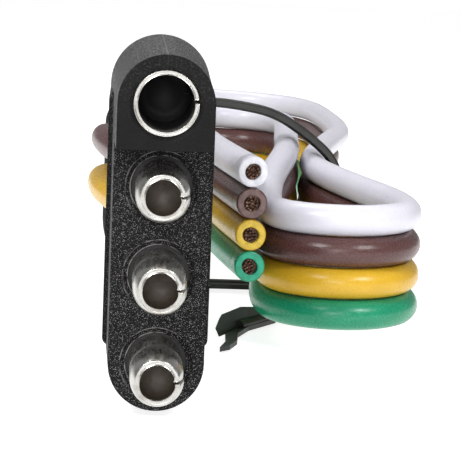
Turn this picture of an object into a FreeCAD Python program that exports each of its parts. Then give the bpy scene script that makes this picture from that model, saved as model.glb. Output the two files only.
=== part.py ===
import FreeCAD, Part

import math
import os

import Sketcher

# Four-way flat trailer wiring connector, trailer side, with its bonded four-wire lead wound in a
# hank and held by a twist tie.  Millimetres.  +X is to the right of the mating face, -Y is the way
# the terminals point, +Z is up.  The origin is under the middle of the moulded connector.

os.makedirs("parts", exist_ok=True)
doc = FreeCAD.newDocument("trailer_connector")

# ---------------------------------------------------------------- driving dimensions
DIMENSIONS = {
    "pitch": 7.62,             # between terminal axes
    "mid_height": 16.13,       # from the lower end of the connector to the middle of the row
    "tip_place": -20.0,        # Y of the shroud's face and of the pin tips
    "face_place": -11.8,       # Y of the face that the pins stand out of
    "step_place": -5.6,        # Y where the flank changes its slope
    "grip_place": -4.0,        # Y of the shoulder of the grip block
    "heel_place": 8.6,         # Y of the widest section
    "taper_place": 13.5,       # Y half way down the rear taper
    "rear_place": 20.0,        # Y where the lead comes out
    "tip_radius": 3.95,        # half width of the shroud at its face
    "face_radius": 4.14,
    "step_radius": 4.3,
    "heel_radius": 4.7,
    "taper_radius": 4.2,
    "rear_radius": 2.8,
    "taper_spread": 9.6,       # half distance between the end arcs' centres, half way down the taper
    "shroud_drop": 3.8,        # from the socket's axis down to the flat side of the shroud
    "grip_width": 9.48,
    "grip_height": 22.8,
    "grip_length": 15.0,
    "grip_corner": 0.7,
    "pin_radius": 2.286,
    "pin_wall": 0.42,
    "socket_radius": 2.69,
    "socket_wall": 0.36,
    "shroud_bore": 3.0,        # mouth of the bore in the shroud
    "mouth_depth": 0.3,
    "ring_radius": 2.66,       # well round each pin, and the carrier's boss at its bottom
    "ring_depth": 0.95,        # from the face back to the boss
    "rim_radius": 3.1,         # shallow recess round each well
    "rim_depth": 0.3,
    "carrier_radius": 3.3,     # half width of the carrier's bar
    "carrier_front": -9.8,
    "carrier_back": -2.0,
    "crimp_radius": 1.25,
    "crimp_end": 1.0,          # Y of the rear end of the crimp barrels
    "bend_place": 3.5,         # Y where the wires start to close up into a ribbon
    "slit": 0.14,
    "wire_diameter": 3.2,
    "wire_bore": 1.56,
    "wire_pitch": 3.24,
    "exit_pitch": 5.0,         # between the wires where they leave the moulding
    "conductor_diameter": 1.5,
    "conductor_start": -4.6,
    "strand_diameter": 0.29,
    "strand_reach": 0.6,       # strands that show at the cut end
    "tie_width": 4.0,
    "tie_thickness": 0.5,
    "tab_place": 33.5,
    "tab_right": 13.0,
    "tab_turn": 1.5,
    "tab_slope": 0.5,
    "spike_height": 0.3,
    "tie_bead": 1.2,           # the ridge over the wire in the tie
    "tie_core": 0.6,
    "tie_place": 67.0,         # Y of the tie's middle at the top of its loop
    "tie_lean": 0.42,          # forward shift for each millimetre down
}

sheet = doc.addObject("Spreadsheet::Sheet", "Dims")
for row, (name, value) in enumerate(DIMENSIONS.items(), start=1):
    sheet.set("A%d" % row, name)
    sheet.set("B%d" % row, str(value))
    sheet.setAlias("B%d" % row, name)
doc.recompute()


def size(name):
    return float(getattr(sheet, name))


COLOURS = ["white", "brown", "yellow", "green"]
TOP_ROW = 1.5


def terminal_height(index):
    return size("mid_height") + (TOP_ROW - index) * size("pitch")


def wire_offset(index):
    return (TOP_ROW - index) * size("wire_pitch")


# ---------------------------------------------------------------- sketch helpers
def plane_of(body, role):
    for feature in body.Origin.OriginFeatures:
        if feature.Role == role:
            return feature
    raise ValueError("no plane " + role)


def new_sketch(body, name, role, offset=None):
    """A sketch on one of the body's own planes.  offset is an expression along the plane's normal."""
    sketch = body.newObject("Sketcher::SketchObject", name)
    sketch.AttachmentSupport = [(plane_of(body, role), "")]
    sketch.MapMode = "FlatFace"
    if offset:
        sketch.setExpression("AttachmentOffset.Base.z", offset)
    return sketch


def drive(sketch, constraint, expression):
    index = sketch.addConstraint(constraint)
    sketch.setExpression("Constraints[%d]" % index, expression)


def slot_sketch(body, name, place, radius, spread):
    """An upright slot across Y: two end arcs of one radius joined by straight sides."""
    sketch = new_sketch(body, name, "XZ_Plane", "-" + place)
    r = size("face_radius")
    top = size("mid_height") + TOP_ROW * size("pitch")
    low = size("mid_height") - TOP_ROW * size("pitch")
    normal = FreeCAD.Vector(0, 0, 1)
    upper = Part.Circle(FreeCAD.Vector(0, top, 0), normal, r)
    lower = Part.Circle(FreeCAD.Vector(0, low, 0), normal, r)
    sketch.addGeometry(Part.ArcOfCircle(upper, 0, math.pi))
    sketch.addGeometry(Part.ArcOfCircle(lower, math.pi, 2 * math.pi))
    sketch.addGeometry(Part.LineSegment(FreeCAD.Vector(r, low, 0), FreeCAD.Vector(r, top, 0)))
    sketch.addGeometry(Part.LineSegment(FreeCAD.Vector(-r, top, 0), FreeCAD.Vector(-r, low, 0)))
    for arc, arc_end, line, line_end in [(0, 1, 2, 2), (0, 2, 3, 1), (1, 1, 3, 2), (1, 2, 2, 1)]:
        sketch.addConstraint(Sketcher.Constraint("Tangent", arc, arc_end, line, line_end))
    for arc in (0, 1):
        sketch.addConstraint(Sketcher.Constraint("PointOnObject", arc, 3, -2))
    sketch.addConstraint(Sketcher.Constraint("Equal", 0, 1))
    drive(sketch, Sketcher.Constraint("Radius", 0, r), radius)
    drive(sketch, Sketcher.Constraint("DistanceY", -1, 1, 0, 3, top), "Dims.mid_height + " + spread)
    drive(sketch, Sketcher.Constraint("DistanceY", -1, 1, 1, 3, low), "Dims.mid_height - " + spread)
    return sketch


def arch_sketch(body, name, place, radius):
    """The shroud's section: a round top over a flat bottom."""
    sketch = new_sketch(body, name, "XZ_Plane", "-" + place)
    r = size("tip_radius")
    axis = terminal_height(0)
    base = axis - size("shroud_drop")
    circle = Part.Circle(FreeCAD.Vector(0, axis, 0), FreeCAD.Vector(0, 0, 1), r)
    sketch.addGeometry(Part.ArcOfCircle(circle, 0, math.pi))
    sketch.addGeometry(Part.LineSegment(FreeCAD.Vector(-r, axis, 0), FreeCAD.Vector(-r, base, 0)))
    sketch.addGeometry(Part.LineSegment(FreeCAD.Vector(-r, base, 0), FreeCAD.Vector(r, base, 0)))
    sketch.addGeometry(Part.LineSegment(FreeCAD.Vector(r, base, 0), FreeCAD.Vector(r, axis, 0)))
    sketch.addConstraint(Sketcher.Constraint("Tangent", 0, 2, 1, 1))
    sketch.addConstraint(Sketcher.Constraint("Tangent", 0, 1, 3, 2))
    sketch.addConstraint(Sketcher.Constraint("Coincident", 1, 2, 2, 1))
    sketch.addConstraint(Sketcher.Constraint("Coincident", 2, 2, 3, 1))
    sketch.addConstraint(Sketcher.Constraint("PointOnObject", 0, 3, -2))
    sketch.addConstraint(Sketcher.Constraint("Horizontal", 2))
    drive(sketch, Sketcher.Constraint("Radius", 0, r), radius)
    drive(sketch, Sketcher.Constraint("DistanceY", -1, 1, 0, 3, axis), "Dims.mid_height + 1.5 * Dims.pitch")
    drive(sketch, Sketcher.Constraint("DistanceY", -1, 1, 2, 1, base),
          "Dims.mid_height + 1.5 * Dims.pitch - Dims.shroud_drop")
    return sketch


def box_sketch(body, name, role, offset, left, right, low, high):
    """A rectangle from four expressions of its edges."""
    sketch = new_sketch(body, name, role, offset)
    corners = [FreeCAD.Vector(*c) for c in ((0, 0, 0), (1, 0, 0), (1, 1, 0), (0, 1, 0))]
    for k in range(4):
        sketch.addGeometry(Part.LineSegment(corners[k], corners[(k + 1) % 4]))
    for k in range(4):
        sketch.addConstraint(Sketcher.Constraint("Coincident", k, 2, (k + 1) % 4, 1))
    for k, way in enumerate(("Horizontal", "Vertical", "Horizontal", "Vertical")):
        sketch.addConstraint(Sketcher.Constraint(way, k))
    drive(sketch, Sketcher.Constraint("DistanceX", -1, 1, 0, 1, 0.0), left)
    drive(sketch, Sketcher.Constraint("DistanceX", -1, 1, 1, 1, 1.0), right)
    drive(sketch, Sketcher.Constraint("DistanceY", -1, 1, 0, 1, 0.0), low)
    drive(sketch, Sketcher.Constraint("DistanceY", -1, 1, 2, 1, 1.0), high)
    return sketch


def outline_sketch(body, name, points):
    """A closed outline of straight edges in the XY plane; each point is a pair of expressions."""
    sketch = new_sketch(body, name, "XY_Plane")
    rough = [FreeCAD.Vector(value(px), value(py), 0) for px, py in points]
    count = len(points)
    for k in range(count):
        sketch.addGeometry(Part.LineSegment(rough[k], rough[(k + 1) % count]))
    for k in range(count):
        sketch.addConstraint(Sketcher.Constraint("Coincident", k, 2, (k + 1) % count, 1))
    for k, (px, py) in enumerate(points):
        drive(sketch, Sketcher.Constraint("DistanceX", -1, 1, k, 1, rough[k].x), px)
        drive(sketch, Sketcher.Constraint("DistanceY", -1, 1, k, 1, rough[k].y), py)
    return sketch


def value(expression):
    """The number that an expression of sheet cells comes to."""
    return float(sheet.evalExpression(expression.replace("Dims.", "")))


def spin(body, name, sketch):
    turned = body.newObject("PartDesign::Revolution", name)
    turned.Profile = sketch
    turned.ReferenceAxis = (sketch, ["V_Axis"])
    turned.Angle = 360
    return turned


def cut_slit(body, name, reach, end):
    """The open seam of a rolled terminal, along +X from its tip to end."""
    sketch = box_sketch(body, name + "_outline", "XY_Plane", None, "0.3", reach, "Dims.tip_place - 1", end)
    slit = body.newObject("PartDesign::Pocket", name)
    slit.Profile = sketch
    slit.Type = 0
    slit.Midplane = True
    slit.setExpression("Length", "Dims.slit")
    return slit


# ---------------------------------------------------------------- terminals
PIN_OUTSIDE = [
    ("Dims.pin_radius - 0.36", "Dims.tip_place"),
    ("Dims.pin_radius - 0.12", "Dims.tip_place + 0.35"),
    ("Dims.pin_radius", "Dims.tip_place + 1.6"),
    ("Dims.pin_radius", "Dims.face_place - 3.6"),
    ("Dims.pin_radius - 0.2", "Dims.face_place - 3.3"),
    ("Dims.pin_radius - 0.2", "Dims.face_place - 2.9"),
    ("Dims.pin_radius", "Dims.face_place - 2.6"),
    ("Dims.pin_radius", "Dims.carrier_front + 2.6"),
    ("Dims.crimp_radius", "Dims.carrier_front + 4.4"),
    ("Dims.crimp_radius", "Dims.crimp_end"),
]

SOCKET_OUTSIDE = [
    ("Dims.socket_radius", "Dims.tip_place + 0.15"),
    ("Dims.socket_radius", "Dims.carrier_front + 2.0"),
    ("Dims.crimp_radius", "Dims.carrier_front + 4.6"),
    ("Dims.crimp_radius", "Dims.crimp_end"),
]


def inside_of(outside, wall):
    """The inner edge of a rolled sheet, run back from the crimp to the tip."""
    bore = "Dims.wire_bore / 2 - 0.03"
    points = [(bore, outside[-1][1]), (bore, outside[-2][1] + " - 0.1")]
    for px, py in reversed(outside[:-2]):
        points.append((px + " - " + wall, py))
    return points


def rolled_terminal(label, index, outside, wall, reach):
    body = doc.addObject("PartDesign::Body", label)
    body.Label = label
    profile = outline_sketch(body, label + "_wall", outside + inside_of(outside, wall))
    doc.recompute()
    spin(body, label + "_roll", profile)
    doc.recompute()
    whole = body.Shape.Volume
    cut_slit(body, label + "_seam", reach, "Dims.carrier_front + 1.5")
    doc.recompute()
    if body.Shape.Volume >= whole:
        raise ValueError(label + " has no seam")
    body.setExpression("Placement.Base.z", "Dims.mid_height + (%s) * Dims.pitch" % (TOP_ROW - index))
    return body


socket = rolled_terminal("socket_white", 0, SOCKET_OUTSIDE, "Dims.socket_wall", "Dims.socket_radius + 1")
pins = [
    rolled_terminal("pin_" + COLOURS[k], k, PIN_OUTSIDE, "Dims.pin_wall", "Dims.pin_radius + 1")
    for k in (1, 2, 3)
]


def terminal_plug(name, index, outside):
    """The room a terminal takes, filled solid, for cutting its seat."""
    body = doc.addObject("PartDesign::Body", name)
    axis_points = [("0", outside[-1][1]), ("0", outside[0][1])]
    profile = outline_sketch(body, name + "_half", outside + axis_points)
    doc.recompute()
    spin(body, name + "_solid", profile)
    body.setExpression("Placement.Base.z", "Dims.mid_height + (%s) * Dims.pitch" % (TOP_ROW - index))
    return body


plugs = [terminal_plug("seat_socket", 0, SOCKET_OUTSIDE)]
plugs += [terminal_plug("seat_pin_%d" % k, k, PIN_OUTSIDE) for k in (1, 2, 3)]
doc.recompute()


# ---------------------------------------------------------------- routes of the lead
# The four wires leave the moulding apart and bow out to the left, the middle two furthest, then
# close up into a ribbon at the tie.  Each point has the pitch of the wires there.
FREE_STRETCH = [
    (0.0, 16.5, 16.13, 5.0),
    (-4.5, 27.5, 17.2, 5.1),
    (-5.7, 38.5, 17.4, 5.0),
    (-5.4, 50.0, 16.5, 4.4),
]
BOW = [0.5, 0.95, 1.0, 0.45]
# The middle of the ribbon from the tie to its cut end: back along the left, round the outer bend,
# forward on the right, round the tight front loop, back inside, round the inner bend and forward
# to the cut end.  The four wires stand one above another on it; the last number of each point is
# how far each wire lies to the left of the one above.
LEAD_ROUTE = [
    (-2.3, 61.0, 15.0, 0.0),
    (-2.5, 75.0, 14.6, 0.0),
    (-2.9, 96.0, 14.1, 0.0),
    (-3.4, 118.0, 13.7, 0.0),
    (-2.0, 141.0, 13.2, 0.0),
    (5.5, 151.8, 12.9, 0.0),
    (18.6, 152.6, 12.4, 0.2),
    (26.4, 145.0, 12.0, 0.5),
    (26.9, 128.0, 11.2, 1.2),
    (26.6, 109.0, 10.8, 1.4),
    (23.6, 92.0, 10.6, 0.8),
    (21.3, 77.5, 10.3, 0.3),
    (19.8, 63.5, 9.9, 0.0),
    (24.0, 48.0, 9.2, 0.0),
    (26.9, 36.0, 9.0, 0.0),
    (27.0, 24.3, 9.0, 0.0),
    (22.5, 19.6, 8.9, 0.0),
    (16.2, 19.6, 8.9, 0.0),
    (11.9, 24.6, 8.9, 0.0),
    (12.5, 35.5, 9.6, 0.0),
    (13.8, 47.0, 10.5, 0.0),
    (17.05, 64.0, 11.8, 0.0),
    (18.0, 79.0, 12.1, 0.0),
    (19.0, 91.0, 12.5, 0.0),
    (19.4, 101.1, 12.7, 0.0),
    (15.4, 105.7, 12.8, 0.0),
    (9.4, 105.7, 13.0, 0.0),
    (5.4, 101.1, 13.1, 0.0),
    (5.0, 90.0, 13.3, 0.0),
    (5.4, 76.0, 13.4, 0.0),
    (6.4, 60.0, 13.5, 0.0),
    (7.4, 40.0, 13.6, 0.0),
    (9.9, 20.0, 13.5, 0.0),
]
STRAND_SPACING = 1.03
STRAND_ROOT = 0.1
ARC_SHARE = 0.45


def rounded_path(points, closed=False):
    """Straight runs joined by tangent arcs.  Gives the edges and the radii."""
    count = len(points)
    turns = range(count) if closed else range(1, count - 1)
    edges = []
    radii = []
    start = None if closed else points[0]
    first = None
    for k in turns:
        here = points[k]
        before = points[(k - 1) % count] - here
        after = points[(k + 1) % count] - here
        half_turn = (math.pi - before.getAngle(after)) / 2
        reach = ARC_SHARE * min(before.Length, after.Length)
        radii.append(reach / math.tan(half_turn))
        inlet = here + before.normalize() * reach
        outlet = here + after.normalize() * reach
        towards = (before + after).normalize()
        middle = here + towards * (radii[-1] / math.cos(half_turn) - radii[-1])
        if start is not None:
            edges.append(Part.LineSegment(start, inlet).toShape())
        else:
            first = inlet
        edges.append(Part.Arc(inlet, middle, outlet).toShape())
        start = outlet
    edges.append(Part.LineSegment(start, first if closed else points[-1]).toShape())
    return edges, radii


def swept(edges, profile_edges):
    path = Part.Wire(edges)
    return path.makePipeShell([Part.Wire(profile_edges)], True, False)


def round_tube(edges, diameter):
    start = edges[0].valueAt(edges[0].FirstParameter)
    way = edges[0].tangentAt(edges[0].FirstParameter)
    return swept(edges, [Part.Circle(start, way, diameter / 2).toShape()])


def check_tube(label, solid, edges, diameter):
    length = sum(edge.Length for edge in edges)
    expected = math.pi * diameter ** 2 / 4 * length
    if abs(solid.Volume / expected - 1) > 0.01:
        raise ValueError(label + " does not fill its path")
    return length


def wire_points(index):
    """The route of one wire, from the back of its crimp to its cut end."""
    points = [FreeCAD.Vector(0, size("crimp_end"), terminal_height(index))]
    points.append(FreeCAD.Vector(0, size("bend_place"), terminal_height(index)))
    for x, y, z, pitch in FREE_STRETCH:
        points.append(FreeCAD.Vector(x * BOW[index], y, z + (TOP_ROW - index) * pitch))
    for x, y, z, lean in LEAD_ROUTE:
        points.append(FreeCAD.Vector(x + (TOP_ROW - index) * lean, y, z + wire_offset(index)))
    return points


def core_path(index, jacket_path):
    """The jacket's path, run on into the crimp and stopped short of the cut."""
    first, last = jacket_path[0], jacket_path[-1]
    end = last.valueAt(last.LastParameter)
    way = last.tangentAt(last.LastParameter)
    inlet = FreeCAD.Vector(0, size("conductor_start"), terminal_height(index))
    entry = Part.LineSegment(inlet, first.valueAt(first.LastParameter)).toShape()
    stop = end - way * size("strand_reach")
    outlet = Part.LineSegment(last.valueAt(last.FirstParameter), stop).toShape()
    return [entry] + jacket_path[1:-1] + [outlet]


def add_shape(label, shape):
    feature = doc.addObject("Part::Feature", label)
    feature.Label = label
    feature.Shape = shape
    return feature


def strand_bundle(core_end, way):
    """Nineteen strands on a thin root, at the cut end of one wire."""
    side = way.cross(FreeCAD.Vector(0, 0, 1)).normalize()
    lift = side.cross(way)
    gap = size("strand_diameter") * STRAND_SPACING
    places = [FreeCAD.Vector()]
    for ring, count in ((1, 6), (2, 12)):
        for k in range(count):
            angle = 2 * math.pi * (k + 0.5 * ring) / count
            places.append((side * math.cos(angle) + lift * math.sin(angle)) * (gap * ring))
    radius = size("strand_diameter") / 2
    strands = [Part.makeCylinder(radius, size("strand_reach"), core_end + place, way) for place in places]
    root = Part.makeCylinder(size("conductor_diameter") / 2, STRAND_ROOT, core_end, way)
    return root.multiFuse(strands)


def make_wire(index, colour):
    """One wire's jacket, conductor and cut strands, with its length and bend radii."""
    path, radii = rounded_path(wire_points(index))
    outer = round_tube(path, size("wire_diameter"))
    length = check_tube("wire_" + colour, outer, path, size("wire_diameter"))
    add_shape("wire_" + colour, outer.cut(round_tube(path, size("wire_bore"))))
    inner = core_path(index, path)
    core = round_tube(inner, size("conductor_diameter"))
    check_tube("conductor_" + colour, core, inner, size("conductor_diameter"))
    add_shape("conductor_" + colour, core)
    last = inner[-1]
    bundle = strand_bundle(last.valueAt(last.LastParameter), last.tangentAt(last.LastParameter))
    add_shape("strand_ends_" + colour, bundle)
    print(colour, "length", round(length, 1), "radii", [round(r, 1) for r in radii])


for k, colour in enumerate(COLOURS):
    make_wire(k, colour)


# ---------------------------------------------------------------- carrier
def make_carrier():
    """The inner moulding that spaces the terminals: a bar with a boss round each pin."""
    body = doc.addObject("PartDesign::Body", "carrier_bar")
    bar = slot_sketch(body, "carrier_outline", "Dims.carrier_front", "Dims.carrier_radius", "1.5 * Dims.pitch")
    pad = body.newObject("PartDesign::Pad", "carrier_pad")
    pad.Profile = bar
    pad.Reversed = True
    pad.setExpression("Length", "Dims.carrier_back - Dims.carrier_front")
    bosses = []
    for k in (1, 2, 3):
        boss = doc.addObject("Part::Cylinder", "carrier_boss_%d" % k)
        boss.setExpression("Radius", "Dims.ring_radius")
        boss.setExpression("Height", "Dims.carrier_front - Dims.face_place - Dims.ring_depth + 1")
        boss.Placement = FreeCAD.Placement(FreeCAD.Vector(), FreeCAD.Rotation(FreeCAD.Vector(1, 0, 0), -90))
        boss.setExpression("Placement.Base.y", "Dims.face_place + Dims.ring_depth")
        boss.setExpression("Placement.Base.z", "Dims.mid_height + (%s) * Dims.pitch" % (TOP_ROW - k))
        bosses.append(boss)
    whole = doc.addObject("Part::MultiFuse", "carrier_whole")
    whole.Shapes = [body] + bosses
    seats = doc.addObject("Part::MultiFuse", "carrier_seats")
    seats.Shapes = plugs
    carrier = doc.addObject("Part::Cut", "terminal_carrier")
    carrier.Label = "terminal_carrier"
    carrier.Base = whole
    carrier.Tool = seats
    return carrier, whole, seats


carrier, carrier_whole, terminal_seats = make_carrier()
doc.recompute()


# ---------------------------------------------------------------- housing
def loft(body, name, near, far):
    feature = body.newObject("PartDesign::AdditiveLoft", name)
    feature.Profile = near
    feature.Sections = [far]
    feature.Ruled = True
    doc.recompute()
    return feature


def grip_block():
    """The block that stands proud of both flanks, with its four long edges rounded."""
    block = doc.addObject("Part::Box", "grip_block")
    block.setExpression("Length", "Dims.grip_width")
    block.setExpression("Width", "Dims.grip_length")
    block.setExpression("Height", "Dims.grip_height")
    block.setExpression("Placement.Base.x", "-Dims.grip_width / 2")
    block.setExpression("Placement.Base.y", "Dims.grip_place")
    block.setExpression("Placement.Base.z", "Dims.mid_height - Dims.grip_height / 2")
    doc.recompute()
    rounded = doc.addObject("Part::Fillet", "grip_rounded")
    rounded.Base = block
    corner = size("grip_corner")
    rounded.Edges = [
        (k, corner, corner)
        for k, edge in enumerate(block.Shape.Edges, start=1)
        if abs(edge.tangentAt(edge.FirstParameter).y) > 0.99
    ]
    return rounded


def make_housing():
    body = doc.addObject("PartDesign::Body", "housing_body")
    spread = "1.5 * Dims.pitch"
    face = slot_sketch(body, "face_section", "Dims.face_place", "Dims.face_radius", spread)
    step = slot_sketch(body, "step_section", "Dims.step_place", "Dims.step_radius", spread)
    heel = slot_sketch(body, "heel_section", "Dims.heel_place", "Dims.heel_radius", spread)
    taper = slot_sketch(body, "taper_section", "Dims.taper_place", "Dims.taper_radius", "Dims.taper_spread")
    rear = slot_sketch(body, "rear_section", "Dims.rear_place", "Dims.rear_radius", "1.5 * Dims.exit_pitch")
    doc.recompute()
    stations = [face, step, heel, taper, rear]
    for near, far in zip(stations, stations[1:]):
        loft(body, "trunk_to_" + far.Name, near, far)
    tip_arch = arch_sketch(body, "tip_arch", "Dims.tip_place", "Dims.tip_radius")
    face_arch = arch_sketch(body, "face_arch", "(Dims.face_place + 0.5)", "Dims.face_radius")
    doc.recompute()
    loft(body, "shroud", tip_arch, face_arch)
    whole = doc.addObject("Part::MultiFuse", "housing_whole")
    whole.Shapes = [body, grip_block()]
    return whole


def round_cutter(name, row, radius, depth):
    """A round cutter from in front of the face back to a depth below it."""
    cutter = doc.addObject("Part::Cylinder", name)
    cutter.setExpression("Radius", radius)
    cutter.setExpression("Height", depth + " + 1")
    cutter.Placement = FreeCAD.Placement(FreeCAD.Vector(), FreeCAD.Rotation(FreeCAD.Vector(1, 0, 0), -90))
    cutter.setExpression("Placement.Base.y", "Dims.face_place - 1")
    cutter.setExpression("Placement.Base.z", "Dims.mid_height + (%s) * Dims.pitch" % (TOP_ROW - row))
    return cutter


def ring_cutters():
    """The stepped wells between the face and the carrier's bosses, and the mouth of the shroud."""
    cutters = []
    for k in (1, 2, 3):
        cutters.append(round_cutter("well_%d" % k, k, "Dims.ring_radius", "Dims.ring_depth"))
        cutters.append(round_cutter("rim_%d" % k, k, "Dims.rim_radius", "Dims.rim_depth"))
    mouth = doc.addObject("Part::Cone", "mouth")
    mouth.setExpression("Radius1", "Dims.shroud_bore")
    mouth.setExpression("Radius2", "Dims.socket_radius")
    mouth.setExpression("Height", "Dims.mouth_depth")
    mouth.Placement = FreeCAD.Placement(FreeCAD.Vector(), FreeCAD.Rotation(FreeCAD.Vector(1, 0, 0), -90))
    mouth.setExpression("Placement.Base.y", "Dims.tip_place")
    mouth.setExpression("Placement.Base.z", "Dims.mid_height + 1.5 * Dims.pitch")
    return cutters + [mouth]


def wire_channels():
    """The way of the four wires through the rear of the moulding, filled solid."""
    shapes = []
    for k in range(4):
        path, _ = rounded_path(wire_points(k))
        shapes.append(round_tube(path[:5], size("wire_diameter")))
    return add_shape("wire_channels", Part.makeCompound(shapes))


housing_body = make_housing()
cutters = ring_cutters()
channels = wire_channels()
hollows = doc.addObject("Part::MultiFuse", "housing_hollows")
hollows.Shapes = [carrier_whole, terminal_seats, channels] + cutters
housing = doc.addObject("Part::Cut", "housing_overmould")
housing.Label = "housing_overmould"
housing.Base = housing_body
housing.Tool = hollows
doc.recompute()

# ---------------------------------------------------------------- twist tie
# A flat strip stands round the hank in a plane that leans forward at the bottom.  Its two ends
# are twisted together low at the front and run out over the floor beside the front loop.
TIE_LOOP = [(-2.6, 22.5), (9.5, 22.3), (15.4, 21.3), (19.6, 18.7), (22.9, 15.8), (23.9, 11.5), (24.0, 3.6),
            (21.6, 0.8), (4.0, 0.8), (-3.0, 2.4), (-5.0, 6.5), (-5.0, 20.8)]
TIE_TWIST = [(16.0, 58.4, 0.9), (16.5, 46.0, 0.9), (14.6, 37.0, 0.9), (9.6, 28.8, 0.9)]
# The torn tab, leaning back from the floor, as (x, z), and the torn spike, flat on the floor, as (x, y)
TIE_TAB = [(13.0, 0.3), (13.0, 2.0), (11.2, 2.4), (9.8, 2.7), (7.6, 2.4), (7.3, 2.0), (6.9, 1.2), (7.3, 0.35),
           (8.2, 0.45), (8.9, 0.3)]
TIE_SPIKE = [(13.6, 35.4), (10.5, 31.0), (9.0, 27.8), (7.9, 24.3), (7.8, 20.6), (7.0, 17.0), (8.1, 18.3),
             (9.0, 21.3), (9.3, 25.2), (10.7, 29.3), (14.0, 34.6)]
TIE_TOP = max(z for _, z in TIE_LOOP)


def lean_at(z):
    """How far forward the leaning loop stands at one height."""
    return size("tie_place") - size("tie_lean") * (TIE_TOP - z)


def tie_loop_path():
    points = [FreeCAD.Vector(x, lean_at(z), z) for x, z in TIE_LOOP]
    return rounded_path(points, closed=True)[0]


def tie_band():
    """The flat band of the loop, its surfaces along Y, cut to its width by two leaning planes."""
    middle = Part.Wire(rounded_path([FreeCAD.Vector(x, 0, z) for x, z in TIE_LOOP], closed=True)[0])
    half = size("tie_thickness") / 2
    outer = Part.Face(middle.makeOffset2D(half))
    ring = outer.cut(Part.Face(middle.makeOffset2D(-half)))
    reach = 2 * size("tie_place")
    prism = ring.extrude(FreeCAD.Vector(0, reach, 0))
    low, high = -5.0, TIE_TOP + 5.0
    side = size("tie_width") / 2
    corners = [(lean_at(low) - side, low), (lean_at(low) + side, low),
               (lean_at(high) + side, high), (lean_at(high) - side, high)]
    left = -reach
    outline = [FreeCAD.Vector(left, y, z) for y, z in corners + corners[:1]]
    slab = Part.Face(Part.makePolygon(outline)).extrude(FreeCAD.Vector(2 * reach, 0, 0))
    return prism.common(slab)


def tab_point(x, z):
    """A point of the leaning tab: its bottom edge runs forward to the left, its top edge leans back."""
    back = size("tab_place") - size("tab_turn") * (size("tab_right") - x)
    return FreeCAD.Vector(x, back + size("tab_slope") * z, z)


def lamina(points, way):
    """A flat torn piece with that outline, of the strip's thickness."""
    face = Part.Face(Part.makePolygon(points + points[:1]))
    return face.extrude(way.normalize() * size("tie_thickness"))


def tie_tails():
    """The twisted stretch, then the two flat torn ends."""
    twist = round_tube(rounded_path([FreeCAD.Vector(*p) for p in TIE_TWIST])[0], size("tie_bead"))
    tab = lamina([tab_point(x, z) for x, z in TIE_TAB], FreeCAD.Vector(0, 1, 0))
    flat = [FreeCAD.Vector(x, y, size("spike_height")) for x, y in TIE_SPIKE]
    spike = lamina(flat, FreeCAD.Vector(0, 0, 1))
    return [twist, tab, spike]


def make_tie():
    edges = tie_loop_path()
    bead = round_tube(edges, size("tie_bead"))
    core = round_tube(edges, size("tie_core"))
    ribbon = tie_band().multiFuse([bead] + tie_tails()).cut(core)
    return add_shape("twist_tie_ribbon", ribbon), add_shape("twist_tie_core", core)


make_tie()
doc.recompute()

# ---------------------------------------------------------------- checks and files
NODES = ["housing_overmould", "terminal_carrier", "socket_white", "pin_brown", "pin_yellow", "pin_green"]
for colour in COLOURS:
    NODES += ["wire_" + colour, "conductor_" + colour, "strand_ends_" + colour]
NODES += ["twist_tie_ribbon", "twist_tie_core"]


def labelled(label):
    return next(item for item in doc.Objects if item.Label == label)


def check_document():
    for item in doc.Objects:
        if "Invalid" in item.State or "Error" in item.State:
            raise ValueError("%s is %s" % (item.Label, item.State))
    for label in NODES:
        shape = labelled(label).Shape
        if shape.isNull() or not shape.isValid():
            raise ValueError(label + " has no good shape")


check_document()
for label in NODES:
    shape = labelled(label).Shape
    shape.exportStep("parts/%s.step" % label)
    print(label, "solids", len(shape.Solids), "volume", round(shape.Volume, 1))
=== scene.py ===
import math
import random

import bmesh
import bpy
from mathutils import Matrix, Vector


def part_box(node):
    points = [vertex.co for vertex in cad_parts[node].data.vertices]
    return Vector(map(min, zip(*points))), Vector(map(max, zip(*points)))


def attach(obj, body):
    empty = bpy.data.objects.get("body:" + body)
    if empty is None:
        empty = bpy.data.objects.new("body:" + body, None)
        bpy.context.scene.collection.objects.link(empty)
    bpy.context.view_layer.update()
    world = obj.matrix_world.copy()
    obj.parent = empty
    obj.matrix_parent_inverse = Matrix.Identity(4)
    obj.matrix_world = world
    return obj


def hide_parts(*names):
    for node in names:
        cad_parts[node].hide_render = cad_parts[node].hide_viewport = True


# Four-way flat trailer connector with its ribbon lead in a tied hank.  Metres, in the CAD's frame:
# the terminals point along -Y, the shrouded socket is at the top, the floor is at Z = 0.

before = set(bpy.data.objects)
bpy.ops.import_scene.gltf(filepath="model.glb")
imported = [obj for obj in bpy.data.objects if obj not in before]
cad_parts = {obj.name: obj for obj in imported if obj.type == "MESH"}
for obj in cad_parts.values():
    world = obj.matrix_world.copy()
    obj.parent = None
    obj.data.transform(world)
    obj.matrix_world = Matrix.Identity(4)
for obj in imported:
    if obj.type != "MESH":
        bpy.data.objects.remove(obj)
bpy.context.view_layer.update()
MM = 0.001
COLOURS = ["white", "brown", "yellow", "green"]
random.seed(7)


# ---------------------------------------------------------------- camera
EYE = Vector((-3.47, -176.6, 37.8)) * MM
YAW = 0.057
PITCH = 0.1285
ROLL = 0.0384
LENS = 152.8


def make_camera():
    data = bpy.data.cameras.new("camera")
    data.lens = LENS
    data.sensor_width = 36.0
    data.clip_start = 0.005
    camera = bpy.data.objects.new("camera", data)
    bpy.context.scene.collection.objects.link(camera)
    ahead = Vector((math.sin(YAW) * math.cos(PITCH), math.cos(YAW) * math.cos(PITCH), -math.sin(PITCH)))
    turn = ahead.to_track_quat("-Z", "Y").to_matrix() @ Matrix.Rotation(ROLL, 3, "Z")
    camera.matrix_world = Matrix.Translation(EYE) @ turn.to_4x4()
    bpy.context.scene.camera = camera


make_camera()

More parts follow.
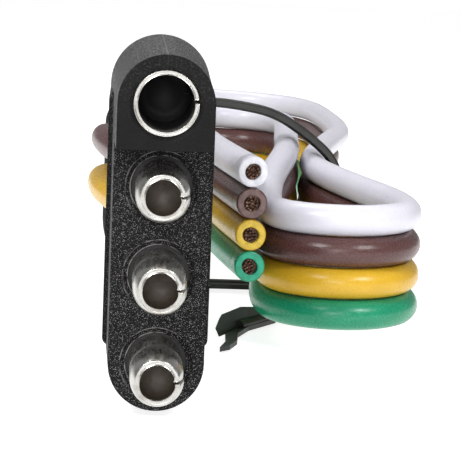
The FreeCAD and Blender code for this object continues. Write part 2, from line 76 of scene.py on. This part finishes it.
# ---------------------------------------------------------------- the lead's four wires
WIRE_DIAMETER = 3.2 * MM
WIRE_PITCH = 3.24 * MM
# x, y, z and pitch of the stretch where the wires bow out apart, then the middle of the
# ribbon with how far each wire lies to the left of the one above
FREE_STRETCH = [
    (0.0, 16.5, 16.13, 5.0),
    (-4.5, 27.5, 17.2, 5.1),
    (-5.7, 38.5, 17.4, 5.0),
    (-5.4, 50.0, 16.5, 4.4),
]
BOW = [0.5, 0.95, 1.0, 0.45]
# The middle of the ribbon from the tie to its cut end: back along the left, round the outer bend,
# forward on the right, round the tight front loop, back inside, round the inner bend and forward
# to the cut end.  The four wires stand one above another on it.
LEAD_ROUTE = [
    (-2.3, 61.0, 15.0, 0.0),
    (-2.5, 75.0, 14.6, 0.0),
    (-2.9, 96.0, 14.1, 0.0),
    (-3.4, 118.0, 13.7, 0.0),
    (-2.0, 141.0, 13.2, 0.0),
    (5.5, 151.8, 12.9, 0.0),
    (18.6, 152.6, 12.4, 0.2),
    (26.4, 145.0, 12.0, 0.5),
    (26.9, 128.0, 11.2, 1.2),
    (26.6, 109.0, 10.8, 1.4),
    (23.6, 92.0, 10.6, 0.8),
    (21.3, 77.5, 10.3, 0.3),
    (19.8, 63.5, 9.9, 0.0),
    (24.0, 48.0, 9.2, 0.0),
    (26.9, 36.0, 9.0, 0.0),
    (27.0, 24.3, 9.0, 0.0),
    (22.5, 19.6, 8.9, 0.0),
    (16.2, 19.6, 8.9, 0.0),
    (11.9, 24.6, 8.9, 0.0),
    (12.5, 35.5, 9.6, 0.0),
    (13.8, 47.0, 10.5, 0.0),
    (17.05, 64.0, 11.8, 0.0),
    (18.0, 79.0, 12.1, 0.0),
    (19.0, 91.0, 12.5, 0.0),
    (19.4, 101.1, 12.7, 0.0),
    (15.4, 105.7, 12.8, 0.0),
    (9.4, 105.7, 13.0, 0.0),
    (5.4, 101.1, 13.1, 0.0),
    (5.0, 90.0, 13.3, 0.0),
    (5.4, 76.0, 13.4, 0.0),
    (6.4, 60.0, 13.5, 0.0),
    (7.4, 40.0, 13.6, 0.0),
    (9.9, 20.0, 13.5, 0.0),
]
END_SLEEVE = 2.0 * MM


def wire_route(index):
    """One wire's points, from inside the moulding to its cut end."""
    row = 1.5 - index
    free = [Vector((x * BOW[index], y, z + row * pitch)) * MM for x, y, z, pitch in FREE_STRETCH]
    bonded = [Vector((x + row * lean, y, z + row * WIRE_PITCH / MM)) * MM for x, y, z, lean in LEAD_ROUTE]
    return free + bonded


def wire_end(index):
    """The cut end of one wire and the way it points."""
    before, end = wire_route(index)[-2:]
    return end, (end - before).normalized()


def add_curve(name, points, diameter, resolution=6):
    """One open NURBS spline with those control points, given a round section."""
    curve = bpy.data.curves.new(name, "CURVE")
    curve.dimensions = "3D"
    spline = curve.splines.new("NURBS")
    spline.points.add(len(points) - 1)
    for target, point in zip(spline.points, points):
        target.co = (*point, 1.0)
        target.radius = diameter / 2
    spline.order_u = 3
    spline.use_endpoint_u = True
    spline.resolution_u = resolution
    curve.bevel_depth = 1.0
    curve.bevel_resolution = 8
    piece = bpy.data.objects.new(name, curve)
    bpy.context.scene.collection.objects.link(piece)
    return piece


def make_wire(index, colour):
    points = wire_route(index)
    end, way = wire_end(index)
    points[-1] = end - way * END_SLEEVE
    wire = add_curve("ribbon_wire_" + colour, points, WIRE_DIAMETER)
    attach(wire, "root")
    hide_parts("wire_" + colour)
    return wire


wires = {colour: make_wire(k, colour) for k, colour in enumerate(COLOURS)}


# ---------------------------------------------------------------- mesh pieces
def mesh_piece(name, vertices, faces, smooth=True, merge=False):
    mesh = bpy.data.meshes.new(name)
    mesh.from_pydata([tuple(v) for v in vertices], [], faces)
    mesh.validate()
    shape = bmesh.new()
    shape.from_mesh(mesh)
    if merge:
        bmesh.ops.remove_doubles(shape, verts=shape.verts, dist=1e-8)
    bmesh.ops.recalc_face_normals(shape, faces=shape.faces)
    shape.to_mesh(mesh)
    shape.free()
    mesh.polygons.foreach_set("use_smooth", [smooth] * len(mesh.polygons))
    piece = bpy.data.objects.new(name, mesh)
    bpy.context.scene.collection.objects.link(piece)
    return piece


def stand_for(piece, node):
    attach(piece, "root")
    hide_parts(node)
    return piece


# Outer profiles of the rolled terminals, tip first: place along Y and radius, in mm
PIN_PROFILE = [
    (-19.97, 1.76), (-20.0, 1.83), (-19.93, 1.91), (-19.7, 2.0), (-19.3, 2.1), (-18.8, 2.2), (-18.2, 2.262),
    (-17.7, 2.28), (-17.0, 2.286), (-16.2, 2.286), (-15.6, 2.286), (-15.4, 2.25), (-15.2, 2.13),
    (-15.05, 2.085), (-14.75, 2.085), (-14.6, 2.13), (-14.4, 2.25), (-14.2, 2.286), (-11.0, 2.286),
    (-7.4, 2.286), (-6.9, 2.1), (-5.6, 1.32), (-5.3, 1.25), (0.95, 1.25),
]
SOCKET_PROFILE = [
    (-19.8, 2.58), (-19.85, 2.63), (-19.8, 2.675), (-19.6, 2.69), (-15.0, 2.69), (-8.4, 2.69), (-8.15, 2.69),
    (-7.6, 2.5), (-7.2, 2.27), (-6.8, 2.04), (-6.2, 1.69), (-5.6, 1.34), (-5.2, 1.25), (0.95, 1.25),
]
PIN_WALL = 0.42
PIN_FLOOR = -16.4
SOCKET_FLOOR = -8.1
BOWL_DEPTH = 0.55
CLOSED_RADIUS = 1.72
SOCKET_WALL = 0.36
SEAM_STEPS = 96


def lip_dip(angle, depth_above, depth_below):
    """How far the rolled edge curls in, near the seam at angle 0, in mm."""
    side = angle if angle < math.pi else angle - 2 * math.pi
    depth = depth_above if side > 0 else depth_below
    return depth * math.exp(-(side / 0.17) ** 2)


def rolled_piece(name, profile, wall, centre_z, seam, curl, wobble, floor):
    """A rolled tube with an open seam, curled lips and a slightly uneven rim, closed inside at floor."""
    bowl = [(floor + BOWL_DEPTH * (1 - (r / 1.8) ** 2), r) for r in (1.7, 1.4, 1.0, 0.5, 0.04, 0.004)]
    deep = [(y, r) for y, r in profile if y >= floor]
    inner = [(y, r - wall) for y, r in profile if y < floor] + bowl[:len(deep)]
    behind = len(deep) - len(bowl)
    start, length = bowl[-1][0], profile[-1][0] - bowl[-1][0]
    inner += [(start + length * (k + 1) / behind, 0.004 + 0.88 * (k + 1) / behind) for k in range(behind)]
    inner[0] = (inner[0][0] + 0.02, inner[0][1] + 0.14)
    inner[1] = (inner[1][0] + 0.02, inner[1][1] + 0.07)
    ring = profile + inner[::-1]
    count = len(ring)
    tip = profile[1][0]
    closed = [y > floor and r < CLOSED_RADIUS for y, r in ring]
    vertices = []
    for step in range(SEAM_STEPS + 1):
        for (y, r), shut in zip(ring, closed):
            near_tip = math.exp(-(y - tip) / 0.9)
            gap = 0.0 if shut else 0.016 + 0.04 * math.exp(-(y - tip) / 0.22)
            angle = gap + (2 * math.pi - 2 * gap) * step / SEAM_STEPS
            ends = 0.0 if shut or y > -8.0 else 1.0
            waves = math.cos(3 * angle + 1.0) + 0.4 * math.cos(5 * angle + 0.4)
            uneven = ends * wobble * near_tip * waves
            radius = r - ends * lip_dip(angle, curl[0], curl[1]) * (0.4 + 0.6 * near_tip) + uneven
            turn = (angle % (2 * math.pi) if shut else angle) + seam
            vertices.append(Vector((radius * math.cos(turn), y, radius * math.sin(turn))) * MM
                            + Vector((0, 0, centre_z)))
    faces = []
    for step in range(SEAM_STEPS):
        base, after = step * count, (step + 1) * count
        for k in range(count):
            n = (k + 1) % count
            faces.append((base + k, base + n, after + n, after + k))
    half = len(profile)
    for base in (0, SEAM_STEPS * count):
        for k in range(half - 1):
            corners = (k, k + 1, count - 2 - k, count - 1 - k)
            if not all(closed[n] for n in corners):
                faces.append([base + n for n in corners])
    piece = mesh_piece(name, vertices, faces, merge=True)
    return piece, count, half


def make_terminals():
    made = []
    low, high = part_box("socket_white")
    piece, count, half = rolled_piece("rolled_socket_white", SOCKET_PROFILE, SOCKET_WALL,
                                      (low.z + high.z) / 2, 0.09, (0.05, 0.02), 0.012, SOCKET_FLOOR)
    made.append((stand_for(piece, "socket_white"), count, half))
    curls = {"brown": (0.22, 0.07), "yellow": (0.18, 0.08), "green": (0.24, 0.06)}
    for colour in COLOURS[1:]:
        low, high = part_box("pin_" + colour)
        piece, count, half = rolled_piece("rolled_pin_" + colour, PIN_PROFILE, PIN_WALL,
                                          (low.z + high.z) / 2, 0.03, curls[colour], 0.022, PIN_FLOOR)
        made.append((stand_for(piece, "pin_" + colour), count, half))
    return made


terminals = make_terminals()

# The insulation's cut face: radius and place behind the cut, in mm
SLEEVE_OUTSIDE = [(0.86, 0.03), (0.98, 0.0), (1.44, 0.0), (1.52, 0.03), (1.58, 0.1), (1.6, 0.22),
                  (1.6, 2.1)]
SLEEVE_INSIDE = [(1.2, 2.1), (0.82, 1.2), (0.80, 0.3), (0.82, 0.1)]
ROUND_STEPS = 64


def end_axes(way):
    side = Vector((0, 0, 1)).cross(way).normalized()
    return side, way.cross(side)


def cut_sleeve(index, colour):
    """The last stretch of one jacket, with its cut face and bore."""
    end, way = wire_end(index)
    side, lift = end_axes(way)
    ring = SLEEVE_OUTSIDE + SLEEVE_INSIDE
    vertices = []
    for step in range(ROUND_STEPS):
        turn = 2 * math.pi * step / ROUND_STEPS
        for k, (radius, behind) in enumerate(ring):
            ragged = 0.03 * math.sin(3 * turn + index) + 0.02 * math.sin(7 * turn + 2 * index)
            back = behind + (ragged if behind < 0.5 else 0.0)
            inner = 1.0 + (0.06 * math.sin(2 * turn + index) if radius < 1.0 else 0.0)
            vertices.append(end - way * (back * MM) + side * (radius * inner * MM * math.cos(turn))
                            + lift * (radius * inner * MM * math.sin(turn)))
    count = len(ring)
    faces = []
    for step in range(ROUND_STEPS):
        base, after = step * count, ((step + 1) % ROUND_STEPS) * count
        for k in range(count):
            n = (k + 1) % count
            faces.append((base + k, base + n, after + n, after + k))
    piece = mesh_piece("cut_end_" + colour, vertices, faces)
    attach(piece, "root")
    return piece, count


STRAND_RADIUS = 0.15
STRAND_RINGS = [(0, 1), (1, 6), (2, 12)]


def strand_bundle(index, colour):
    """Nineteen strands squeezed into an uneven bundle, cut at slightly different lengths."""
    end, way = wire_end(index)
    side, lift = end_axes(way)
    vertices, faces = [], []
    corners = 10
    for ring, count in STRAND_RINGS:
        for k in range(count):
            turn = 2 * math.pi * (k + 0.5 * ring) / count + 0.3 * index
            away = ring * 0.29 + random.uniform(-0.03, 0.05) * (ring > 0)
            across = away * math.cos(turn) * 0.9 + random.uniform(-0.035, 0.035)
            up = away * math.sin(turn) * 1.16 + random.uniform(-0.035, 0.035)
            length = random.uniform(-0.14, 0.1)
            radius = STRAND_RADIUS * random.uniform(0.85, 1.04)
            centre = end + side * (across * MM) + lift * (up * MM)
            first = len(vertices)
            for back, share in ((0.65, 1.0), (-length + 0.06, 1.0), (-length, 0.82)):
                for c in range(corners):
                    a = 2 * math.pi * c / corners
                    vertices.append(centre - way * (back * MM) + side * (radius * share * MM * math.cos(a))
                                    + lift * (radius * share * MM * math.sin(a)))
            for level in (0, 1):
                for c in range(corners):
                    n = (c + 1) % corners
                    row = first + level * corners
                    faces.append((row + c, row + n, row + corners + n, row + corners + c))
            faces.append(tuple(first + 2 * corners + c for c in range(corners)))
    # a dark floor to the bore, behind the strands
    first = len(vertices)
    for c in range(24):
        a = 2 * math.pi * c / 24
        spoke = side * math.cos(a) + lift * math.sin(a)
        vertices.append(end - way * (0.5 * MM) + spoke * (0.8 * MM))
    faces.append(tuple(range(first, first + 24)))
    piece = mesh_piece("strands_" + colour, vertices, faces, smooth=False)
    return stand_for(piece, "strand_ends_" + colour)


sleeves = {colour: cut_sleeve(k, colour) for k, colour in enumerate(COLOURS)}
strands = {colour: strand_bundle(k, colour) for k, colour in enumerate(COLOURS)}


# ---------------------------------------------------------------- material helpers
def new_material(name):
    material = bpy.data.materials.new(name)
    material.use_nodes = True
    nodes = material.node_tree.nodes
    return material, nodes, material.node_tree.links, nodes["Principled BSDF"]


def object_noise(nodes, links, scale, detail=4.0, roughness=0.55, stretch=(1, 1, 1)):
    """A noise fixed in the object's own space, scale in features per metre."""
    place = nodes.new("ShaderNodeTexCoord")
    mapping = nodes.new("ShaderNodeMapping")
    mapping.inputs["Scale"].default_value = stretch
    links.new(place.outputs["Object"], mapping.inputs["Vector"])
    noise = nodes.new("ShaderNodeTexNoise")
    noise.inputs["Scale"].default_value = scale
    noise.inputs["Detail"].default_value = detail
    noise.inputs["Roughness"].default_value = roughness
    links.new(mapping.outputs["Vector"], noise.inputs["Vector"])
    return noise.outputs["Fac"]


def ramp(nodes, links, source, stops):
    """A colour ramp; stops are (place, colour) pairs."""
    node = nodes.new("ShaderNodeValToRGB")
    elements = node.color_ramp.elements
    while len(elements) < len(stops):
        elements.new(0.5)
    for element, (place, colour) in zip(elements, stops):
        element.position = place
        element.color = (*colour, 1.0)
    links.new(source, node.inputs["Fac"])
    return node.outputs["Color"]


def span(nodes, links, source, low, high, out_low, out_high):
    node = nodes.new("ShaderNodeMapRange")
    for socket, number in zip(("From Min", "From Max", "To Min", "To Max"), (low, high, out_low, out_high)):
        node.inputs[socket].default_value = number
    links.new(source, node.inputs["Value"])
    return node.outputs["Result"]


def bump(nodes, links, shader, height, strength, distance):
    node = nodes.new("ShaderNodeBump")
    node.inputs["Strength"].default_value = strength
    node.inputs["Distance"].default_value = distance
    links.new(height, node.inputs["Height"])
    links.new(node.outputs["Normal"], shader.inputs["Normal"])
    return node


def dress(piece, *materials):
    """Gives a piece its materials."""
    piece.data.materials.clear()
    for material in materials:
        piece.data.materials.append(material)


def pick_faces(piece, ring_highlights, count, chosen):
    """Gives the second material to the chosen faces of each ring of a turned piece."""
    faces = piece.data.polygons
    for number in range(ring_highlights * count):
        if number % count in chosen:
            faces[number].material_index = 1


def maths(nodes, links, operation, first, second):
    node = nodes.new("ShaderNodeMath")
    node.operation = operation
    for socket, source in zip(node.inputs, (first, second)):
        if isinstance(source, (int, float)):
            socket.default_value = source
        else:
            links.new(source, socket)
    return node.outputs["Value"]


def object_axes(nodes, links):
    place = nodes.new("ShaderNodeTexCoord")
    split = nodes.new("ShaderNodeSeparateXYZ")
    links.new(place.outputs["Object"], split.inputs["Vector"])
    return split.outputs


def mix_colour(nodes, links, amount, first, second):
    node = nodes.new("ShaderNodeMix")
    node.data_type = "RGBA"
    links.new(amount, node.inputs["Factor"])
    for socket, source in ((node.inputs["A"], first), (node.inputs["B"], second)):
        if isinstance(source, tuple):
            socket.default_value = (*source, 1.0)
        else:
            links.new(source, socket)
    return node.outputs["Result"]


# ---------------------------------------------------------------- materials
def jacket_material(colour, base, shade, grain, rough):
    """Extruded PVC: semi-gloss, faintly uneven, with fine sparkle of pigment."""
    material, nodes, links, shader = new_material("pvc_" + colour)
    cloud = object_noise(nodes, links, 420.0)
    fine = object_noise(nodes, links, 6500.0, detail=2.0)
    tone = ramp(nodes, links, cloud, [(0.3, shade), (0.7, base)])
    pale = tuple(min(1.0, c * 1.5 + 0.05) for c in base)
    speck = maths(nodes, links, "MULTIPLY", span(nodes, links, fine, 0.56, 0.66, 0.0, 1.0), grain)
    links.new(mix_colour(nodes, links, speck, tone, pale), shader.inputs["Base Color"])
    links.new(span(nodes, links, fine, 0.3, 0.7, rough - 0.05, rough + 0.1), shader.inputs["Roughness"])
    bump(nodes, links, shader, fine, 0.15 + 0.5 * grain, 0.00004)
    shader.inputs["IOR"].default_value = 1.5
    shader.inputs["Subsurface Weight"].default_value = 0.05
    shader.inputs["Subsurface Radius"].default_value = (0.0012, 0.0012, 0.0012)
    return material


JACKETS = {
    "white": jacket_material("white", (0.70, 0.69, 0.76), (0.66, 0.65, 0.73), 0.05, 0.3),
    "brown": jacket_material("brown", (0.095, 0.040, 0.037), (0.078, 0.032, 0.030), 0.5, 0.28),
    "yellow": jacket_material("yellow", (0.66, 0.40, 0.022), (0.60, 0.35, 0.018), 0.15, 0.28),
    "green": jacket_material("green", (0.008, 0.27, 0.135), (0.007, 0.23, 0.115), 0.35, 0.28),
}


def cut_material(colour, base, rim):
    """The matt cut face of the insulation, with the blade's fine marks."""
    material, nodes, links, shader = new_material("cut_" + colour)
    cloud = object_noise(nodes, links, 1500.0)
    links.new(ramp(nodes, links, cloud, [(0.35, rim), (0.6, base)]), shader.inputs["Base Color"])
    links.new(span(nodes, links, cloud, 0.3, 0.7, 0.45, 0.65), shader.inputs["Roughness"])
    bump(nodes, links, shader, cloud, 0.4, 0.00006)
    return material


CUTS = {
    "white": cut_material("white", (0.82, 0.82, 0.86), (0.68, 0.68, 0.76)),
    "brown": cut_material("brown", (0.20, 0.13, 0.12), (0.12, 0.07, 0.065)),
    "yellow": cut_material("yellow", (0.78, 0.55, 0.06), (0.60, 0.42, 0.05)),
    "green": cut_material("green", (0.03, 0.42, 0.25), (0.02, 0.30, 0.17)),
}


def housing_material():
    """Black moulding: spark-eroded grain whose specks carry painted sparkle, painted glints on the top, a
    plain shroud face, parting lines with a painted highlight and painted highlights on the well edges.
    """
    material, nodes, links, shader = new_material("housing_grain_painted_highlights")
    x, y, z = (object_axes(nodes, links)[axis] for axis in "XYZ")
    grain = object_noise(nodes, links, 13500.0, detail=1.0, roughness=0.5)
    patches = object_noise(nodes, links, 500.0)
    amount = span(nodes, links, y, -0.0198, -0.0193, 0.06, 1.0)
    # Grain specks: the spark-eroded grain is real, their bright grey is painted sparkle; few on the plain
    # shroud face
    speck = maths(nodes, links, "MULTIPLY", span(nodes, links, grain, 0.62, 0.69, 0.0, 1.0), amount)
    # Painted highlights: thin light rings on the edges of the wells around each pin, only on their
    # upper-left halves where the light falls, left off the socket row and broken up by a noise
    aside = maths(nodes, links, "SUBTRACT", maths(nodes, links, "FLOORED_MODULO", maths(
        nodes, links, "SUBTRACT", z, 0.00089), 0.00762), 0.00381)
    reach = maths(nodes, links, "SQRT", maths(nodes, links, "ADD", maths(nodes, links, "MULTIPLY", x, x),
                                              maths(nodes, links, "MULTIPLY", aside, aside)), 0.0)
    off_ring = maths(nodes, links, "ABSOLUTE", maths(nodes, links, "SUBTRACT", reach, 0.0031), 0.0)
    off_well = maths(nodes, links, "ABSOLUTE", maths(nodes, links, "SUBTRACT", reach, 0.00268), 0.0)
    ring_highlights = maths(nodes, links, "MAXIMUM", span(nodes, links, off_ring, 0.00003, 0.00008, 0.8, 0.0),
                  span(nodes, links, off_well, 0.00003, 0.00007, 1.0, 0.0))
    above = span(nodes, links, maths(nodes, links, "SUBTRACT", aside, x), 0.0, 0.0016, 0.0, 1.0)
    below_socket = span(nodes, links, z, 0.0232, 0.0236, 1.0, 0.0)
    highlight_breakup = span(nodes, links, object_noise(nodes, links, 1500.0), 0.38, 0.55, 0.0, 1.0)
    ring_highlights = maths(nodes, links, "MULTIPLY", maths(nodes, links, "MULTIPLY", ring_highlights, above),
                  maths(nodes, links, "MULTIPLY", below_socket, highlight_breakup))
    along = span(nodes, links, maths(nodes, links, "ABSOLUTE", x, 0.0), 0.00002, 0.00006, 1.0, 0.0)
    across = maths(nodes, links, "ABSOLUTE", maths(nodes, links, "ADD", y, 0.0114), 0.0)
    ridge = maths(nodes, links, "MAXIMUM", along, span(nodes, links, across, 0.00003, 0.0001, 0.7, 0.0))
    on_top = span(nodes, links, z, 0.0262, 0.0285, 0.0, 1.0)
    # Painted highlight: glints only on the top of the moulding, where the light falls from above
    top_glint = span(nodes, links, object_noise(nodes, links, 5200.0), 0.53, 0.62, 0.0, 1.0)
    top_glint = maths(nodes, links, "MULTIPLY", maths(nodes, links, "MULTIPLY", top_glint, on_top), amount)
    # From here speck carries both the grain's painted sparkle and the painted top glints
    speck = maths(nodes, links, "MAXIMUM", speck, top_glint)
    # The parting ridge on the top: a real ridge in the bump, and a painted highlight in the colour
    parting_ridge_and_highlight = maths(nodes, links, "MULTIPLY", maths(nodes, links, "MULTIPLY", ridge, on_top), amount)
    black = ramp(nodes, links, patches, [(0.3, (0.003, 0.003, 0.0032)), (0.75, (0.006, 0.006, 0.0063))])
    # Bright grey of the painted sparkle and the painted top glints
    dotted = mix_colour(nodes, links, speck, black, (0.30, 0.30, 0.295))
    painted_highlights = maths(nodes, links, "MAXIMUM", maths(nodes, links, "MULTIPLY", parting_ridge_and_highlight, 0.6), ring_highlights)
    # Light grey of the painted highlights on the parting ridge and the well edges
    links.new(mix_colour(nodes, links, painted_highlights, dotted, (0.30, 0.29, 0.28)),
              shader.inputs["Base Color"])
    links.new(span(nodes, links, grain, 0.35, 0.7, 0.6, 0.36), shader.inputs["Roughness"])
    shader.inputs["Specular IOR Level"].default_value = 0.14
    height = maths(nodes, links, "ADD", maths(nodes, links, "MULTIPLY", grain, amount), parting_ridge_and_highlight)
    knurl = bump(nodes, links, shader, height, 0.8, 0.00009)
    edge = nodes.new("ShaderNodeBevel")
    edge.samples = 6
    edge.inputs["Radius"].default_value = 0.00014
    links.new(edge.outputs["Normal"], knurl.inputs["Normal"])
    return material


def smooth_black_material():
    material, nodes, links, shader = new_material("carrier_black")
    cloud = object_noise(nodes, links, 900.0)
    links.new(ramp(nodes, links, cloud, [(0.3, (0.006, 0.006, 0.0065)), (0.7, (0.012, 0.012, 0.0125))]),
              shader.inputs["Base Color"])
    links.new(span(nodes, links, cloud, 0.3, 0.7, 0.35, 0.5), shader.inputs["Roughness"])
    bump(nodes, links, shader, cloud, 0.25, 0.00005)
    return material


def tin_material():
    """Bright tin plate over rolled brass: drawn marks along the barrel, brown tarnish in places."""
    material, nodes, links, shader = new_material("tin_plate")
    shader.inputs["Metallic"].default_value = 1.0
    marks = object_noise(nodes, links, 3400.0, stretch=(1, 0.1, 1))
    cloud = object_noise(nodes, links, 600.0)
    links.new(ramp(nodes, links, cloud, [(0.3, (0.34, 0.32, 0.29)), (0.5, (0.50, 0.49, 0.46)),
                                         (0.72, (0.62, 0.61, 0.59))]), shader.inputs["Base Color"])
    links.new(span(nodes, links, marks, 0.3, 0.7, 0.22, 0.36), shader.inputs["Roughness"])
    bump(nodes, links, shader, marks, 0.3, 0.00003)
    return material


def inside_material(name, pale, dark):
    """The dull inner face of a rolled terminal, with painted shade making it darker towards its neck."""
    material, nodes, links, shader = new_material(name)
    shader.inputs["Metallic"].default_value = 0.0
    y = object_axes(nodes, links)["Y"]
    marks = object_noise(nodes, links, 1400.0, stretch=(1, 0.15, 1))
    # Painted shade: pale at the mouth, darker deeper in, towards the neck
    depth = span(nodes, links, y, -0.0195, -0.0085, 0.0, 1.0)
    tone = mix_colour(nodes, links, depth, pale, dark)
    streak = maths(nodes, links, "MULTIPLY", span(nodes, links, marks, 0.45, 0.65, 0.0, 0.45), 1.0)
    links.new(mix_colour(nodes, links, streak, tone, dark), shader.inputs["Base Color"])
    links.new(span(nodes, links, marks, 0.3, 0.7, 0.38, 0.55), shader.inputs["Roughness"])
    bump(nodes, links, shader, marks, 0.2, 0.00004)
    return material


def copper_material():
    """Tarnished copper, painted near black as shade where it sits deep in the moulding and the crimps."""
    material, nodes, links, shader = new_material("bare_copper")
    shader.inputs["Metallic"].default_value = 0.8
    cloud = object_noise(nodes, links, 4200.0)
    tone = ramp(nodes, links, cloud, [(0.35, (0.030, 0.016, 0.011)), (0.55, (0.12, 0.062, 0.042)),
                                      (0.72, (0.42, 0.27, 0.20))])
    # Painted shade: near black below Y = 4 mm, blending to the copper tone by Y = 12 mm
    outside = span(nodes, links, object_axes(nodes, links)["Y"], 0.004, 0.012, 0.0, 1.0)
    links.new(mix_colour(nodes, links, outside, (0.004, 0.004, 0.004), tone), shader.inputs["Base Color"])
    links.new(span(nodes, links, cloud, 0.3, 0.7, 0.35, 0.55), shader.inputs["Roughness"])
    return material


def tie_material():
    material, nodes, links, shader = new_material("tie_plastic")
    cloud = object_noise(nodes, links, 800.0)
    streaks = object_noise(nodes, links, 1600.0, stretch=(0.2, 1, 0.2))
    links.new(ramp(nodes, links, cloud, [(0.3, (0.009, 0.009, 0.008)), (0.7, (0.018, 0.018, 0.016))]),
              shader.inputs["Base Color"])
    links.new(span(nodes, links, cloud, 0.3, 0.7, 0.42, 0.58), shader.inputs["Roughness"])
    bump(nodes, links, shader, streaks, 0.35, 0.00008)
    return material


HOUSING = housing_material()
CARRIER = smooth_black_material()
TIN = tin_material()
# Pale mouth and dark deep end of the painted shade inside the terminals; the dark also colours the drawn
# marks
PIN_INSIDE = inside_material("pin_inside", (0.19, 0.155, 0.12), (0.07, 0.052, 0.038))
SOCKET_INSIDE = inside_material("socket_inside", (0.09, 0.088, 0.085), (0.05, 0.05, 0.049))
COPPER = copper_material()
TIE = tie_material()

for colour in COLOURS:
    dress(wires[colour], JACKETS[colour])
    sleeve, around = sleeves[colour]
    dress(sleeve, JACKETS[colour], CUTS[colour])
    pick_faces(sleeve, ROUND_STEPS, around, {0, 1, 7, 8, 9, 10})
    dress(strands[colour], COPPER)
    dress(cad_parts["conductor_" + colour], COPPER)
for k, (terminal, around, half) in enumerate(terminals):
    dress(terminal, TIN, SOCKET_INSIDE if k == 0 else PIN_INSIDE)
    pick_faces(terminal, SEAM_STEPS, around, set(range(half, around - 3)))
dress(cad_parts["housing_overmould"], HOUSING)
dress(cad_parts["terminal_carrier"], CARRIER)
dress(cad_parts["twist_tie_ribbon"], TIE)
dress(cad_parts["twist_tie_core"], TIE)

# ---------------------------------------------------------------- the parts along each wire, listed and not used further
for k, colour in enumerate(COLOURS):
    along = ["conductor_" + colour, strands[colour], sleeves[colour][0]]
    if colour == "white":
        along += ["twist_tie_ribbon", "twist_tie_core"]


# ---------------------------------------------------------------- floor and light
def make_floor():
    mesh = bpy.data.meshes.new("floor")
    half = 3.0
    corners = [(-half, -half, 0), (half, -half, 0), (half, half, 0), (-half, half, 0)]
    mesh.from_pydata(corners, [], [(0, 1, 2, 3)])
    floor = bpy.data.objects.new("floor", mesh)
    bpy.context.scene.collection.objects.link(floor)
    material, nodes, links, shader = new_material("floor_white")
    cloud = object_noise(nodes, links, 20.0)
    links.new(ramp(nodes, links, cloud, [(0.3, (0.50, 0.50, 0.50)), (0.7, (0.52, 0.52, 0.52))]),
              shader.inputs["Base Color"])
    shader.inputs["Roughness"].default_value = 0.9
    shader.inputs["Emission Color"].default_value = (1, 1, 1, 1)
    shader.inputs["Emission Strength"].default_value = 0.84
    dress(floor, material)


def add_area(name, place, aim, size, power):
    data = bpy.data.lights.new(name, "AREA")
    data.shape = "RECTANGLE"
    data.size, data.size_y = size
    data.energy = power
    lamp = bpy.data.objects.new(name, data)
    bpy.context.scene.collection.objects.link(lamp)
    way = Vector(aim) - Vector(place)
    lamp.matrix_world = Matrix.Translation(place) @ way.to_track_quat("-Z", "Y").to_matrix().to_4x4()
    return lamp


def make_world():
    world = bpy.data.worlds.new("studio")
    world.use_nodes = True
    nodes, links = world.node_tree.nodes, world.node_tree.links
    nodes["Background"].inputs["Color"].default_value = (1, 1, 1, 1)
    seen = nodes.new("ShaderNodeLightPath").outputs["Is Camera Ray"]
    links.new(span(nodes, links, seen, 0.0, 1.0, 0.27, 1.05), nodes["Background"].inputs["Strength"])
    bpy.context.scene.world = world


make_floor()
make_world()
add_area("key", (-0.25, -0.32, 0.42), (0.01, 0.02, 0.015), (0.16, 0.16), 2.2)
add_area("fill", (0.33, -0.36, 0.40), (0.01, 0.02, 0.015), (0.14, 0.16), 1.5)
add_area("front", (-0.04, -0.75, 0.22), (0.01, 0.02, 0.015), (0.30, 0.20), 1.2)
add_area("crown", (-0.05, 0.40, 0.70), (0.0, 0.0, 0.03), (0.5, 0.3), 2.6)
bpy.context.scene.view_settings.view_transform = "Standard"

# ---------------------------------------------------------------- finish
bpy.context.view_layer.update()
